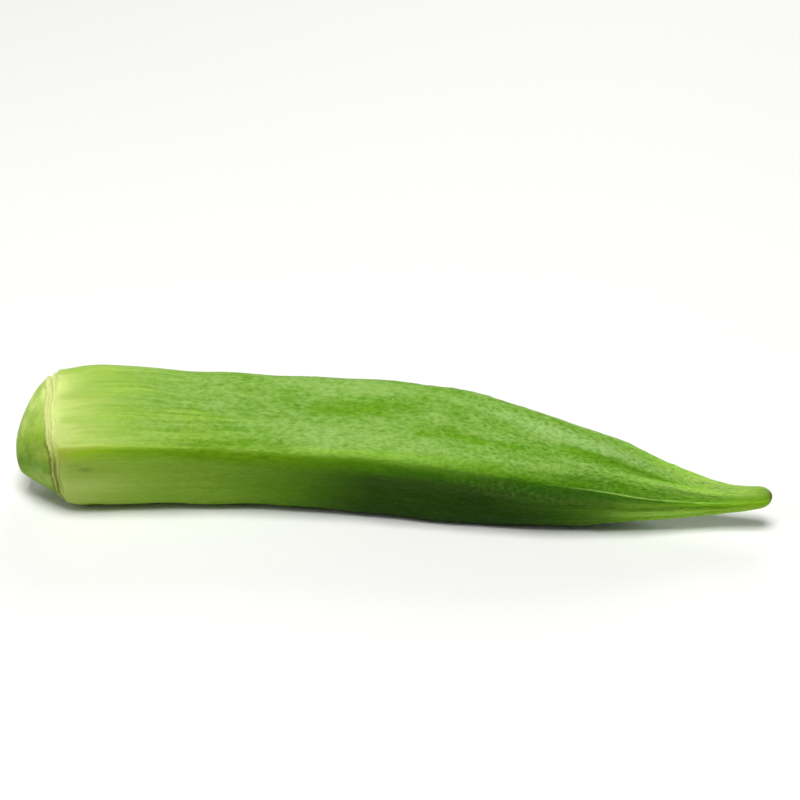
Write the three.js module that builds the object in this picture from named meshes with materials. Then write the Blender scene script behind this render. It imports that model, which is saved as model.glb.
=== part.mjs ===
// An okra pod as picked: the five-sided fruit, the smooth cap that the flower sat on, the
// ring of scars between them and the cut end of the stalk. It grew as one piece, so it is
// one closed body.
//
// Millimetres, +Z up. The pod lies along X, with the cut stalk at -X and the tip at +X. It
// rests on z = 0 on its lowest ridge, right behind the scar ring and again past the middle.
// The origin is under the middle of its bounding box.

import * as THREE from 'three';

const { clamp, degToRad, euclideanModulo, lerp, smoothstep } = THREE.MathUtils;

// Driving dimensions. "Along" is the distance from the cut of the stalk.
const LENGTH = 130;
const RING_ALONG = 6.9;
const CUT_RADIUS = 2.8;
const CUT_DISH = 0.4;
const CUT_FLOOR = 0.7;
const CAP_RADIUS = 10.75;
const CAP_SWELL = 0.7;
const CAP_SHOULDER = 0.4;
const CAP_DROP = 3.7;
const CAP_LEAN = 8;
const CAP_LEAN_FADE = 22;
const CAP_TO_FRUIT = [RING_ALONG - 0.5, RING_ALONG + 0.3];
const TIP_ROUND = 2.4;

// Distance of the ridges from the middle line: [along, radius].
const GIRTH = [
  [6.9, 10.7],
  [8.4, 11.9],
  [11, 12.2],
  [15, 12.5],
  [32, 11.9],
  [55, 11.8],
  [68, 12.1],
  [80, 11.4],
  [93, 9.4],
  [104, 7.1],
  [115, 4],
  [122, 2.5],
  [127.5, 2],
  [LENGTH, 2],
];

// Height of the middle line: [along, height].
const HEIGHT = [
  [6.9, 10.75],
  [9, 10.75],
  [15, 11.3],
  [32, 10.9],
  [50, 10.7],
  [66, 10.5],
  [80, 10],
  [98, 8.8],
  [110, 6.9],
  [118, 6],
  [124, 6],
  [LENGTH, 6.7],
];

// Sideways bow of the middle line towards +Y: [along, distance].
const BOW = [
  [0, 0.8],
  [6.9, 1.4],
  [35, 3.8],
  [65, 3.4],
  [95, -0.5],
  [LENGTH, -2.1],
];

// The ridges' angles round the pod, from -Y upwards, in degrees, and how they wind.
const RIDGES = [17, 91, 164, 237, 306];
const TWIST = [
  [0, 1],
  [40, -2],
  [75, 0],
  [100, -5],
  [LENGTH, -10],
];

// How square the ridges stand between the faces: [along, exponent of the section].
const SQUARENESS = [
  [0, 4],
  [6.9, 5],
  [15, 6.5],
  [40, 8],
  [100, 9],
  [115, 7],
  [LENGTH, 5],
];

// What stands out of the faces or sinks into them. Each grows in over one stretch of the
// pod and dies out over another. A width is in millimetres, but a hollow's is a share of
// half the face.
const RIDGE_LINE = { height: 0.25, width: 0.7, starts: [8, 20], ends: [124, 129] };
const LINE_LOW = 0.3;
const LINE_SHARPENS = [60, 100];
const FACE_HOLLOW = { depth: 0.45, width: 0.42, starts: [22, 45], ends: [78, 98] };
const BEAK_RIB = { height: 0.4, width: 0.95, starts: [94, 108], ends: [116, 127] };
const BEAK_GROOVE = { depth: 0.45, starts: [92, 110], ends: [118, 128] };

// Where the rib runs between its two ridges: [along, share of the way across the face].
const RIB_ACROSS = [
  [100, 0.33],
  [108, 0.355],
  [116, 0.42],
  [126, 0.47],
];

// Seeds swell the faces in slow waves: height, wavelength over 2 pi, waves round, phase.
const SWELLING = { starts: [10, 22], ends: [108, 120] };
const SWELLS = [
  [0.09, 3.4, 2, 0],
  [0.07, 2.1, -3, 1.9],
  [0.06, 5.7, 1, 4],
];

// The scar ring is two ragged rims with a groove between them. It wanders along the pod in
// waves, [distance, waves round, phase], and its rims rise and fall with two waves more.
const RIM_HEIGHT = 0.3;
const RIM_WIDTH = 0.28;
const RIM_SPACING = 0.85;
const RIM_GROOVE = 0.2;
const RING_WANDER = [
  [0.18, 5, 1.1],
  [0.126, 11, 0.4],
];
const RIM_RAGGED = 0.35;
const RAGGED_WAVES = [
  [3, 0.5],
  [8, 2],
];

// Divisions of the surface: [from, to, steps] along the pod, and steps round each face.
const SPANS = [
  [0, 5.8, 8],
  [5.8, 8.2, 13],
  [8.2, 14, 4],
  [14, 94, 31],
  [94, LENGTH - TIP_ROUND, 22],
];
const TIP_STEPS = 5;
const FACE_STEPS = 10;
const FACE_CROWDING = 0.5;

const FULL_TURN = 2 * Math.PI;
const ridges = RIDGES.map(degToRad);

// A smooth curve through hand-set points, read at x.
function curve(points, x) {
  const last = points.length - 1;
  const at = clamp(x, points[0][0], points[last][0]);
  const tangent = (i) => {
    const before = points[Math.max(i - 1, 0)];
    const after = points[Math.min(i + 1, last)];
    return (after[1] - before[1]) / (after[0] - before[0]);
  };
  let i = 0;
  while (i < last - 1 && at > points[i + 1][0]) i += 1;
  const width = points[i + 1][0] - points[i][0];
  const u = (at - points[i][0]) / width;
  const start = (1 + 2 * u) * (1 - u) ** 2 * points[i][1] + u * (1 - u) ** 2 * width * tangent(i);
  const end = u ** 2 * (3 - 2 * u) * points[i + 1][1] + u ** 2 * (u - 1) * width * tangent(i + 1);
  return start + end;
}

// The angle at which a curve climbs at x, from a step of 1 mm.
function climb(points, x) {
  return Math.atan(curve(points, x + 0.5) - curve(points, x - 0.5));
}

// A bell of height 1 and the given half-width.
function bell(distance, halfWidth) {
  return Math.exp(-((distance / halfWidth) ** 2));
}

// How far along the cap a place is: 0 at the cut, 1 from the ring on.
function capShare(along) {
  return clamp(along / RING_ALONG, 0, 1);
}

function ridgeRadius(along) {
  const share = capShare(along);
  const shoulder = CAP_SHOULDER * share ** 2 * (1 - share);
  const cap = lerp(CUT_RADIUS, CAP_RADIUS, share ** CAP_SWELL * (1 + shoulder));
  const fruit = curve(GIRTH, along);
  const behindRing = smoothstep(along, ...CAP_TO_FRUIT);
  const intoTip = clamp((along - LENGTH + TIP_ROUND) / TIP_ROUND, 0, 1);
  return lerp(cap, fruit, behindRing) * Math.sqrt(1 - intoTip ** 2);
}

// The rounded pentagon through the ridges, as a share of the ridge radius.
function section(angle, squareness) {
  const sum = ridges.reduce((total, ridge, i) => {
    const next = i === ridges.length - 1 ? ridges[0] + FULL_TURN : ridges[i + 1];
    const face = Math.cos(angle - (ridge + next) / 2) / Math.cos((next - ridge) / 2);
    return total + Math.max(face, 0) ** squareness;
  }, 0);
  return (2 / sum) ** (1 / squareness);
}

// Everything that stands out of the rounded pentagon or sinks into it.
function relief(along, angle, radius) {
  const fromFirst = euclideanModulo(angle - ridges[0], FULL_TURN) + ridges[0];
  const face = ridges.findLastIndex((ridge) => fromFirst >= ridge - 1e-9);
  const next = face === ridges.length - 1 ? ridges[0] + FULL_TURN : ridges[face + 1];
  const faceAngle = next - ridges[face];
  const across = (fromFirst - ridges[face]) / faceAngle;
  const fromRidge = radius * faceAngle * Math.min(across, 1 - across);
  const ribAcross = curve(RIB_ACROSS, along);
  const fromRib = radius * faceAngle * (across - ribAcross);
  const acrossFlank = across < ribAcross ? across / ribAcross : (1 - across) / (1 - ribAcross);

  const sharpness = lerp(LINE_LOW, 1, smoothstep(along, ...LINE_SHARPENS));
  const line = RIDGE_LINE.height * sharpness * bell(fromRidge, RIDGE_LINE.width);
  const hollow = FACE_HOLLOW.depth * bell(2 * across - 1, FACE_HOLLOW.width);
  const rib = BEAK_RIB.height * bell(fromRib, BEAK_RIB.width);
  const groove = BEAK_GROOVE.depth * Math.sin(Math.PI * acrossFlank) ** 2;
  const swell = SWELLS.reduce(
    (sum, [height, length, waves, phase]) =>
      sum + height * Math.sin(along / length + waves * angle + phase),
    0,
  );
  return (
    reach(along, RIDGE_LINE) * line -
    reach(along, FACE_HOLLOW) * hollow +
    reach(along, BEAK_RIB) * rib -
    reach(along, BEAK_GROOVE) * groove +
    reach(along, SWELLING) * swell +
    scarRing(along, angle)
  );
}

// How fully a form has grown in at "along".
function reach(along, form) {
  return smoothstep(along, ...form.starts) * (1 - smoothstep(along, ...form.ends));
}

function scarRing(along, angle) {
  const wander = RING_WANDER.reduce(
    (sum, [distance, waves, phase]) => sum + distance * Math.sin(waves * angle + phase),
    0,
  );
  const fromRing = along - RING_ALONG - wander;
  const ragged = RAGGED_WAVES.reduce(
    (product, [waves, phase]) => product * Math.sin(waves * angle + phase),
    RIM_RAGGED,
  );
  const capRim = bell(fromRing + RIM_SPACING / 2, RIM_WIDTH);
  const fruitRim = bell(fromRing - RIM_SPACING / 2, RIM_WIDTH);
  const groove = bell(fromRing, RIM_WIDTH);
  return RIM_HEIGHT * (1 + ragged) * (capRim + fruitRim) - RIM_GROOVE * groove;
}

// The point at "angle" and "radius" from the middle line in the section at "along". Each
// section stands square to the middle line, and near the cut leans back with the cap. The
// point is sunk into the pod along the section's normal by "sink".
function place(along, angle, radius, sink = 0) {
  const wound = angle + degToRad(curve(TWIST, along));
  const capLean = degToRad(CAP_LEAN) * (1 - smoothstep(along, 0, CAP_LEAN_FADE));
  const lean = climb(HEIGHT, along) + capLean;
  const turn = climb(BOW, along);
  const toFront = radius * Math.cos(wound);
  const up = radius * Math.sin(wound);
  const height = curve(HEIGHT, along) - CAP_DROP * (1 - capShare(along)) ** 2;
  return new THREE.Vector3(
    along + sink - Math.sin(lean) * up + Math.sin(turn) * toFront,
    curve(BOW, along) - Math.cos(turn) * toFront,
    height + Math.sin(lean) * sink + Math.cos(lean) * up,
  );
}

function surfacePoint(along, angle) {
  const radius = ridgeRadius(along);
  const fade = Math.min(radius, 1);
  const outline = radius * section(angle, curve(SQUARENESS, along));
  return place(along, angle, outline + fade * relief(along, angle, radius));
}

// Stations along the pod. They crowd at the cut, where the cap opens quickly, and follow
// the round of the tip.
function stations() {
  const list = [0];
  SPANS.forEach(([from, to, steps], span) => {
    for (let i = 1; i <= steps; i += 1) {
      const share = i / steps;
      list.push(lerp(from, to, span === 0 ? share ** 2 : share));
    }
  });
  for (let i = 1; i < TIP_STEPS; i += 1) {
    const bend = (i / TIP_STEPS) * (Math.PI / 2);
    list.push(LENGTH - TIP_ROUND + TIP_ROUND * Math.sin(bend));
  }
  return list;
}

// Angles round the pod, with one on each ridge and the others crowding towards the ridges.
function anglesRound() {
  return ridges.flatMap((ridge, face) => {
    const next = face === ridges.length - 1 ? ridges[0] + FULL_TURN : ridges[face + 1];
    return Array.from({ length: FACE_STEPS }, (_, step) => {
      const share = step / FACE_STEPS;
      const crowded = share - (FACE_CROWDING * Math.sin(FULL_TURN * share)) / FULL_TURN;
      return lerp(ridge, next, crowded);
    });
  });
}

function podGeometry() {
  const angles = anglesRound();
  const round = angles.length;
  const rings = stations().map((along) => angles.map((angle) => surfacePoint(along, angle)));

  // The dished cut closes the stalk end and one point closes the tip.
  const cutMiddle = place(0, 0, 0, CUT_DISH);
  const cutShoulder = angles.map((angle) => place(0, angle, CUT_FLOOR * CUT_RADIUS, CUT_DISH));
  rings.unshift(cutShoulder);
  const tip = place(LENGTH, 0, 0);

  const points = [...rings.flat(), cutMiddle, tip];
  const cutIndex = points.length - 2;
  const tipIndex = points.length - 1;
  const lastRing = (rings.length - 1) * round;
  const faces = [];
  for (let i = 0; i < round; i += 1) {
    const j = (i + 1) % round;
    faces.push(cutIndex, i, j);
    for (let ring = 0; ring < lastRing; ring += round) {
      faces.push(ring + i, ring + round + j, ring + j);
      faces.push(ring + i, ring + round + i, ring + round + j);
    }
    faces.push(tipIndex, lastRing + j, lastRing + i);
  }

  // What would reach below the surface that the pod lies on is pressed flat on it.
  points.forEach((point) => {
    point.z = Math.max(point.z, 0);
  });

  const geometry = new THREE.BufferGeometry().setFromPoints(points);
  geometry.setIndex(faces);
  geometry.computeBoundingBox();
  const middle = geometry.boundingBox.getCenter(new THREE.Vector3());
  geometry.translate(-middle.x, -middle.y, 0);
  geometry.computeVertexNormals();
  return geometry;
}

// Fresh okra skin: mid green under a fine bloom, neither wet nor chalky.
function skinMaterial() {
  return new THREE.MeshStandardMaterial({ color: 0x5f9a2b, roughness: 0.55, metalness: 0 });
}

const pod = new THREE.Mesh(podGeometry(), skinMaterial());
pod.name = 'okra_pod';

const part = new THREE.Group();
part.add(pod);

export default part;
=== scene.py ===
import math

import bpy
import numpy as np
from mathutils import Matrix, Vector


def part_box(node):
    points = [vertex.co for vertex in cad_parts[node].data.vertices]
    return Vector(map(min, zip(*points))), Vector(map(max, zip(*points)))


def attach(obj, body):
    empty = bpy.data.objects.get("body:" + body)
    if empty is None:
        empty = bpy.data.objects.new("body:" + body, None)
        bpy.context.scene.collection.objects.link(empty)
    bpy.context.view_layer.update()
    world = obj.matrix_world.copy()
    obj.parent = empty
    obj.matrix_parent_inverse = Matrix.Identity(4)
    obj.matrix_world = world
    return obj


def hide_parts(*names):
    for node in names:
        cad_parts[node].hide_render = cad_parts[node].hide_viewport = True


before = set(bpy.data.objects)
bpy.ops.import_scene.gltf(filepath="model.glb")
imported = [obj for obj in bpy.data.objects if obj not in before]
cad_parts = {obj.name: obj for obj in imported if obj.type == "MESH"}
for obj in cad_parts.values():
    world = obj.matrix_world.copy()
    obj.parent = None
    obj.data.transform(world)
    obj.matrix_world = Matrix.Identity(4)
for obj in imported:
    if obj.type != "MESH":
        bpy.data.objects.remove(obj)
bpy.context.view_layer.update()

scene = bpy.context.scene

# --- Camera -------------------------------------------------------------------------
# A long lens looks down on the lying pod at a third of a right angle, from just right of
# its middle. It is tipped a little, so the pod's tip sits lower than its cap.
POD_MIDDLE = Vector((0.0002, -0.0027, 0.0100))
VIEW_RISE = math.radians(30)
VIEW_SIDE = math.radians(2)
VIEW_TIP = math.radians(1.45)
VIEW_DISTANCE = 0.430
AIM_RIGHT = 0.00105
AIM_UP = 0.00987
LENS = 112.5
SENSOR_WIDTH = 36
NEAR_LIMIT = 0.01

to_eye = Vector((
    math.sin(VIEW_SIDE) * math.cos(VIEW_RISE),
    -math.cos(VIEW_SIDE) * math.cos(VIEW_RISE),
    math.sin(VIEW_RISE),
))
level = Vector((math.cos(VIEW_SIDE), math.sin(VIEW_SIDE), 0))
plumb = to_eye.cross(level)
right = math.cos(VIEW_TIP) * level + math.sin(VIEW_TIP) * plumb
up = to_eye.cross(right)
eye = POD_MIDDLE + VIEW_DISTANCE * to_eye
backward = (eye - POD_MIDDLE - AIM_RIGHT * right - AIM_UP * up).normalized()
right = up.cross(backward).normalized()
up = backward.cross(right)

camera = bpy.data.objects.new("camera", bpy.data.cameras.new("camera"))
camera.data.lens = LENS
camera.data.sensor_width = SENSOR_WIDTH
camera.data.clip_start = NEAR_LIMIT
camera.matrix_world = Matrix.Translation(eye) @ Matrix((right, up, backward)).transposed().to_4x4()
scene.collection.objects.link(camera)
scene.camera = camera

# --- Pod ----------------------------------------------------------------------------
# The fruit, its cap, the scar ring and the cut stalk: firm green flesh in a thin living skin,
# grown as one body. One closed surface stands for it all, finer than the solid, with the
# veins, pebbles and torn scars that the solid leaves out.

# The form is in millimetres, from the distance along the pod and the angle round it.
MM = 0.001
LENGTH = 130
RING_ALONG = 6.9
CUT_RADIUS = 2.8
CUT_DISH = 0.4
CAP_RADIUS = 10.75
CAP_SWELL = 0.7
CAP_SHOULDER = 0.4
CAP_DROP = 3.7
CAP_LEAN = math.radians(8)
CAP_LEAN_FADE = 22
CAP_TO_FRUIT = (RING_ALONG - 0.5, RING_ALONG + 0.3)
TIP_ROUND = 2.4
FULL_TURN = 2 * math.pi

# Curves along the pod, as (along, value): how far the ridges lie from the pod's middle line,
# that line's height and its bow to the side, the ridges' angles and their twist in degrees,
# and how square the section's five corners are.
GIRTH = [(6.9, 10.7), (8.4, 11.9), (11, 12.2), (15, 12.5), (32, 11.9), (55, 11.8), (68, 12.1),
         (80, 11.4), (93, 9.4), (104, 7.1), (115, 4), (122, 2.5), (127.5, 2), (LENGTH, 2)]
HEIGHT = [(6.9, 10.75), (9, 10.75), (15, 11.3), (32, 10.9), (50, 10.7), (66, 10.5), (80, 10),
          (98, 8.8), (110, 6.9), (118, 6), (124, 6), (LENGTH, 6.7)]
BOW = [(0, 0.8), (6.9, 1.4), (35, 3.8), (65, 3.4), (95, -0.5), (LENGTH, -2.1)]
RIDGES = np.radians([17, 91, 164, 237, 306])
NEXT_RIDGES = np.append(RIDGES[1:], RIDGES[0] + FULL_TURN)
ROUNDING = 1e-9
TWIST = [(0, 1), (40, -2), (75, 0), (100, -5), (LENGTH, -10)]
SQUARENESS = [(0, 4), (6.9, 5), (15, 6.5), (40, 8), (100, 9), (115, 7), (LENGTH, 5)]
CLIMB_STEP = 1

# What stands out or sinks in, and between which places it grows in and fades out. A swell is
# its height, length along the pod, waves round it and phase.
RIDGE_LINE = dict(height=0.25, width=0.7, starts=(8, 20), ends=(124, 129))
LINE_LOW = 0.3
LINE_SHARPENS = (60, 100)
FACE_HOLLOW = dict(depth=0.45, width=0.42, starts=(22, 45), ends=(78, 98))
BEAK_RIB = dict(height=0.4, width=0.95, starts=(94, 108), ends=(116, 127))
RIB_ACROSS = [(100, 0.33), (108, 0.355), (116, 0.42), (126, 0.47)]
BEAK_GROOVE = dict(depth=0.45, starts=(92, 110), ends=(118, 128))
SWELLING = dict(starts=(10, 22), ends=(108, 120))
SWELLS = [(0.09, 3.4, 2, 0), (0.07, 2.1, -3, 1.9), (0.06, 5.7, 1, 4)]

# The scar ring's two rims and the groove between them. Its line wanders by so far, in so many
# waves round the pod, and the rims are ragged.
RIM_HEIGHT = 0.3
RIM_WIDTH = 0.28
RIM_SPACING = 0.85
RIM_GROOVE = 0.2
RING_WANDER = [(0.18, 5, 1.1), (0.126, 11, 0.4)]
RIM_RAGGED = 0.35
RAGGED_WAVES = [(3, 0.5), (8, 2)]


def curve(points, x):
    """A smooth curve through given points, read at x."""
    xs, ys = np.array(points, float).T
    before = np.r_[0, np.arange(len(xs) - 1)]
    after = np.r_[np.arange(1, len(xs)), len(xs) - 1]
    tangents = (ys[after] - ys[before]) / (xs[after] - xs[before])
    x = np.clip(x, xs[0], xs[-1])
    i = np.clip(np.searchsorted(xs, x, side="right") - 1, 0, len(xs) - 2)
    width = xs[i + 1] - xs[i]
    u = (x - xs[i]) / width
    start = (1 + 2 * u) * (1 - u) ** 2 * ys[i] + u * (1 - u) ** 2 * width * tangents[i]
    end = u ** 2 * (3 - 2 * u) * ys[i + 1] + u ** 2 * (u - 1) * width * tangents[i + 1]
    return start + end


def climb(points, x):
    """The angle at which such a curve climbs at x."""
    rise = curve(points, x + CLIMB_STEP / 2) - curve(points, x - CLIMB_STEP / 2)
    return np.arctan(rise / CLIMB_STEP)


def ease(x, low, high):
    """0 below low, 1 above high, and a smooth step between."""
    u = np.clip((x - low) / (high - low), 0, 1)
    return u * u * (3 - 2 * u)


def bell(distance, half_width):
    """1 in the middle of a soft bump and nearly 0 at twice its half width."""
    return np.exp(-((distance / half_width) ** 2))


def reach(along, form):
    """How fully a form has grown in along the pod."""
    return ease(along, *form["starts"]) * (1 - ease(along, *form["ends"]))


def cap_share(along):
    """0 at the cut of the stalk, 1 from the scar ring on."""
    return np.clip(along / RING_ALONG, 0, 1)


def ridge_radius(along):
    """Distance of the ridges from the pod's middle line."""
    share = cap_share(along)
    shoulder = CAP_SHOULDER * share ** 2 * (1 - share)
    cap = CUT_RADIUS + (CAP_RADIUS - CUT_RADIUS) * share ** CAP_SWELL * (1 + shoulder)
    behind_ring = ease(along, *CAP_TO_FRUIT)
    into_tip = np.clip((along - LENGTH + TIP_ROUND) / TIP_ROUND, 0, 1)
    return (cap + (curve(GIRTH, along) - cap) * behind_ring) * np.sqrt(1 - into_tip ** 2)


def section(angle, squareness):
    """The rounded pentagon through the ridges, as a share of their distance."""
    total = 0
    for ridge, following in zip(RIDGES, NEXT_RIDGES):
        face = np.cos(angle - (ridge + following) / 2) / np.cos((following - ridge) / 2)
        total = total + np.maximum(face, 0) ** squareness
    return (2 / total) ** (1 / squareness)


def across_face(angle):
    """Where an angle lies across its face, from 0 to 1, and the face's width in radians."""
    from_first = (angle - RIDGES[0]) % FULL_TURN + RIDGES[0]
    ridges_passed = np.searchsorted(RIDGES, from_first + ROUNDING, side="right")
    face = np.clip(ridges_passed - 1, 0, len(RIDGES) - 1)
    width = (NEXT_RIDGES - RIDGES)[face]
    return (from_first - RIDGES[face]) / width, width


def ring_wander(angle):
    """How far the scar ring strays to and fro along the pod."""
    return sum(distance * np.sin(waves * angle + phase) for distance, waves, phase in RING_WANDER)


def scar_ring(along, angle):
    """Two ragged rims with a groove between them, where the bracts fell off."""
    from_ring = along - RING_ALONG - ring_wander(angle)
    ragged = RIM_RAGGED * math.prod(np.sin(waves * angle + phase) for waves, phase in RAGGED_WAVES)
    rims = sum(bell(from_ring - side * RIM_SPACING / 2, RIM_WIDTH) for side in (-1, 1))
    return RIM_HEIGHT * (1 + ragged) * rims - RIM_GROOVE * bell(from_ring, RIM_WIDTH)


def relief(along, angle, radius):
    """What stands out of the rounded pentagon or sinks into it."""
    across, width = across_face(angle)
    from_ridge = radius * width * np.minimum(across, 1 - across)
    rib_across = curve(RIB_ACROSS, along)
    from_rib = radius * width * (across - rib_across)
    before_rib = across / rib_across
    behind_rib = (1 - across) / (1 - rib_across)
    across_flank = np.where(across < rib_across, before_rib, behind_rib)
    sharpness = LINE_LOW + (1 - LINE_LOW) * ease(along, *LINE_SHARPENS)
    line = RIDGE_LINE["height"] * sharpness * bell(from_ridge, RIDGE_LINE["width"])
    hollow = FACE_HOLLOW["depth"] * bell(2 * across - 1, FACE_HOLLOW["width"])
    rib = BEAK_RIB["height"] * bell(from_rib, BEAK_RIB["width"])
    groove = BEAK_GROOVE["depth"] * np.sin(math.pi * across_flank) ** 2
    swell = sum(height * np.sin(along / length + waves * angle + phase)
                for height, length, waves, phase in SWELLS)
    return (
        reach(along, RIDGE_LINE) * line
        - reach(along, FACE_HOLLOW) * hollow
        + reach(along, BEAK_RIB) * rib
        - reach(along, BEAK_GROOVE) * groove
        + reach(along, SWELLING) * swell
        + scar_ring(along, angle)
    )


def place(along, angle, radius, sink=0):
    """The point at angle and radius from the middle line, sunk along the section's normal."""
    wound = angle + np.radians(curve(TWIST, along))
    lean = climb(HEIGHT, along) + CAP_LEAN * (1 - ease(along, 0, CAP_LEAN_FADE))
    turn = climb(BOW, along)
    to_front = radius * np.cos(wound)
    upward = radius * np.sin(wound)
    height = curve(HEIGHT, along) - CAP_DROP * (1 - cap_share(along)) ** 2
    return np.stack([
        along + sink - np.sin(lean) * upward + np.sin(turn) * to_front,
        curve(BOW, along) - np.cos(turn) * to_front,
        height + np.sin(lean) * sink + np.cos(lean) * upward,
    ], axis=-1)


# Fine relief: shallow veins run along the pod and wander a little, and small pebbles cover
# the skin from the middle of the pod to the beak. Each of its waves has a count round the
# pod, a slant along it and a phase, and those of the scar and the cut have a height first.
VEINS = dict(height=0.035, starts=(7.5, 12), ends=(120, 128))
VEIN_WAVES = [(61, 0.031, 0.3), (43, -0.047, 1.7), (97, 0.083, 4.1), (29, 0.019, 2.2)]
VEIN_WANDER = 0.9
VEIN_WANDERS_ROUND = 3
VEIN_WANDER_LENGTH = 11
PEBBLES = dict(height=0.035, starts=(25, 85), ends=(118, 126))
PEBBLE_WAVES = 16
PEBBLE_COUNTS = (18, 52)
PEBBLE_PITCH = 3.4
PEBBLE_SEED = 11
SCAR_STEPS = [(0.06, 23, 2.1, 0.4), (0.05, 37, 3.3, 2.0), (0.04, 61, 5.1, 1.1)]
SCAR_CRUMBLE_WIDTH = 0.7
CUT_ROUGH = [(0.05, 9, 5.0, 0.7), (0.04, 17, 9.0, 2.6), (0.03, 5, 14.0, 4.4)]
CUT_DISH_RIM = 0.3
CUT_ROUGH_RIM = 0.12


def veins(along, angle):
    """Shallow lengthwise veins, which fade out over the cap and the tip."""
    wander = VEIN_WANDER * np.sin(VEIN_WANDERS_ROUND * angle + along / VEIN_WANDER_LENGTH)
    wave = sum(np.sin(count * angle + bend * along + phase + wander)
               for count, bend, phase in VEIN_WAVES)
    return VEINS["height"] * wave / len(VEIN_WAVES) * reach(along, VEINS)


def pebbles(along, angle):
    """Small low bumps: waves that cross each other at all angles."""
    draw = np.random.default_rng(PEBBLE_SEED)
    counts = draw.integers(*PEBBLE_COUNTS, PEBBLE_WAVES)
    pitches = draw.uniform(-PEBBLE_PITCH, PEBBLE_PITCH, PEBBLE_WAVES)
    phases = draw.uniform(0, FULL_TURN, PEBBLE_WAVES)
    wave = sum(np.sin(count * angle + pitch * along + phase)
               for count, pitch, phase in zip(counts, pitches, phases))
    return PEBBLES["height"] * wave / math.sqrt(PEBBLE_WAVES / 2) * reach(along, PEBBLES)


def scar_crumble(along, angle):
    """The rims of the scar ring are torn and flaky."""
    near = bell(along - RING_ALONG - ring_wander(angle), SCAR_CRUMBLE_WIDTH)
    return near * sum(height * np.sin(count * angle + along * pitch + phase)
                      for height, count, pitch, phase in SCAR_STEPS)


def skin_point(along, angle):
    """A point on the skin, in millimetres."""
    radius = ridge_radius(along)
    outline = radius * section(angle, curve(SQUARENESS, along))
    detail = (relief(along, angle, radius) + veins(along, angle) + pebbles(along, angle)
              + scar_crumble(along, angle))
    return place(along, angle, outline + np.minimum(radius, 1) * detail)


def cut_point(share, angle):
    """The dished cut of the stalk: rough, and a little deeper where the pith has dried."""
    rough = sum(height * np.sin(count * angle + share * pitch + phase)
                for height, count, pitch, phase in CUT_ROUGH)
    dish = CUT_DISH * ease(1 - share, 0, CUT_DISH_RIM)
    sink = dish + rough * share * ease(1 - share, 0, CUT_ROUGH_RIM)
    return place(np.zeros_like(angle), angle, share * CUT_RADIUS, sink)


# How fine the surface is: steps across a face, which crowd at the ridges, spans along the
# pod from, to and with how many steps, and rings of points on the cut.
STEPS_ACROSS_FACE = 56
FACE_CROWDING = 0.4
SKIN_SPANS = [(0, 5.8, 26), (5.8, 8.4, 34), (8.4, 16, 26), (16, 94, 160), (94, 127.6, 78)]
TIP_STEPS = 12
CUT_SHARES = [0.12, 0.25, 0.4, 0.55, 0.7, 0.8, 0.88, 0.95]


def skin_stations():
    """Where the rows of points lie along the pod, close together where the form is fine."""
    stations = [0.0]
    for span, (low, high, steps) in enumerate(SKIN_SPANS):
        share = np.arange(1, steps + 1) / steps
        stations.extend(low + (high - low) * (share ** 2 if span == 0 else share))
    bends = np.arange(1, TIP_STEPS) / TIP_STEPS * math.pi / 2
    stations.extend(LENGTH - TIP_ROUND + TIP_ROUND * np.sin(bends))
    return np.array(stations)


def skin_angles():
    """The angles of the points in a row, close together at the ridges."""
    share = np.arange(STEPS_ACROSS_FACE) / STEPS_ACROSS_FACE
    crowded = share - FACE_CROWDING * np.sin(FULL_TURN * share) / FULL_TURN
    return np.concatenate([low + (high - low) * crowded for low, high in zip(RIDGES, NEXT_RIDGES)])


along_grid, angle_grid = np.meshgrid(skin_stations(), skin_angles(), indexing="ij")
skin_rows = skin_point(along_grid, angle_grid)
cut_rows = [cut_point(share, angle_grid[0]) for share in CUT_SHARES]
rows = np.concatenate([np.array(cut_rows), skin_rows])
along_rows = np.concatenate([np.zeros((len(cut_rows), rows.shape[1])), along_grid])
angle_rows = np.concatenate([np.repeat(angle_grid[:1], len(cut_rows), 0), angle_grid])
cut_middle = place(0.0, 0.0, 0.0, CUT_DISH)
tip_point = place(float(LENGTH), 0.0, 0.0)
points = np.concatenate([rows.reshape(-1, 3), [cut_middle, tip_point]])
points[:, 2] = np.maximum(points[:, 2], 0)

# The surface is set on the middle of the solid, and they lie on the table alike.
low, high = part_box("okra_pod")
skin_low, skin_high = points.min(0), points.max(0)
shift = np.array([
    (low.x + high.x) / 2 / MM - (skin_low[0] + skin_high[0]) / 2,
    (low.y + high.y) / 2 / MM - (skin_low[1] + skin_high[1]) / 2,
    0,
])
points = (points + shift) * MM

count_rows, count_round = rows.shape[:2]
quads = []
for row in range(count_rows - 1):
    here = row * count_round + np.arange(count_round)
    beside = row * count_round + (np.arange(count_round) + 1) % count_round
    quads.append(np.stack([here, here + count_round, beside + count_round, beside], axis=1))
quads = np.concatenate(quads).tolist()
cut_index = len(points) - 2
tip_index = len(points) - 1
last_row = (count_rows - 1) * count_round
for here in range(count_round):
    beside = (here + 1) % count_round
    quads.append((cut_index, here, beside))
    quads.append((tip_index, last_row + beside, last_row + here))

skin_mesh = bpy.data.meshes.new("okra_skin")
skin_mesh.from_pydata(points.tolist(), [], quads)
skin_mesh.shade_smooth()
skin = bpy.data.objects.new("okra_skin", skin_mesh)
scene.collection.objects.link(skin)


def add_number(mesh, name, values):
    """Writes one number for each vertex of a mesh, for its material to read."""
    layer = mesh.attributes.new(name, "FLOAT", "POINT")
    layer.data.foreach_set("value", np.asarray(values, np.float32))


def add_place(mesh, name, values):
    """Writes one place for each vertex of a mesh, for its material to read."""
    layer = mesh.attributes.new(name, "FLOAT_VECTOR", "POINT")
    layer.data.foreach_set("vector", np.asarray(values, np.float32).ravel())
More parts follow.
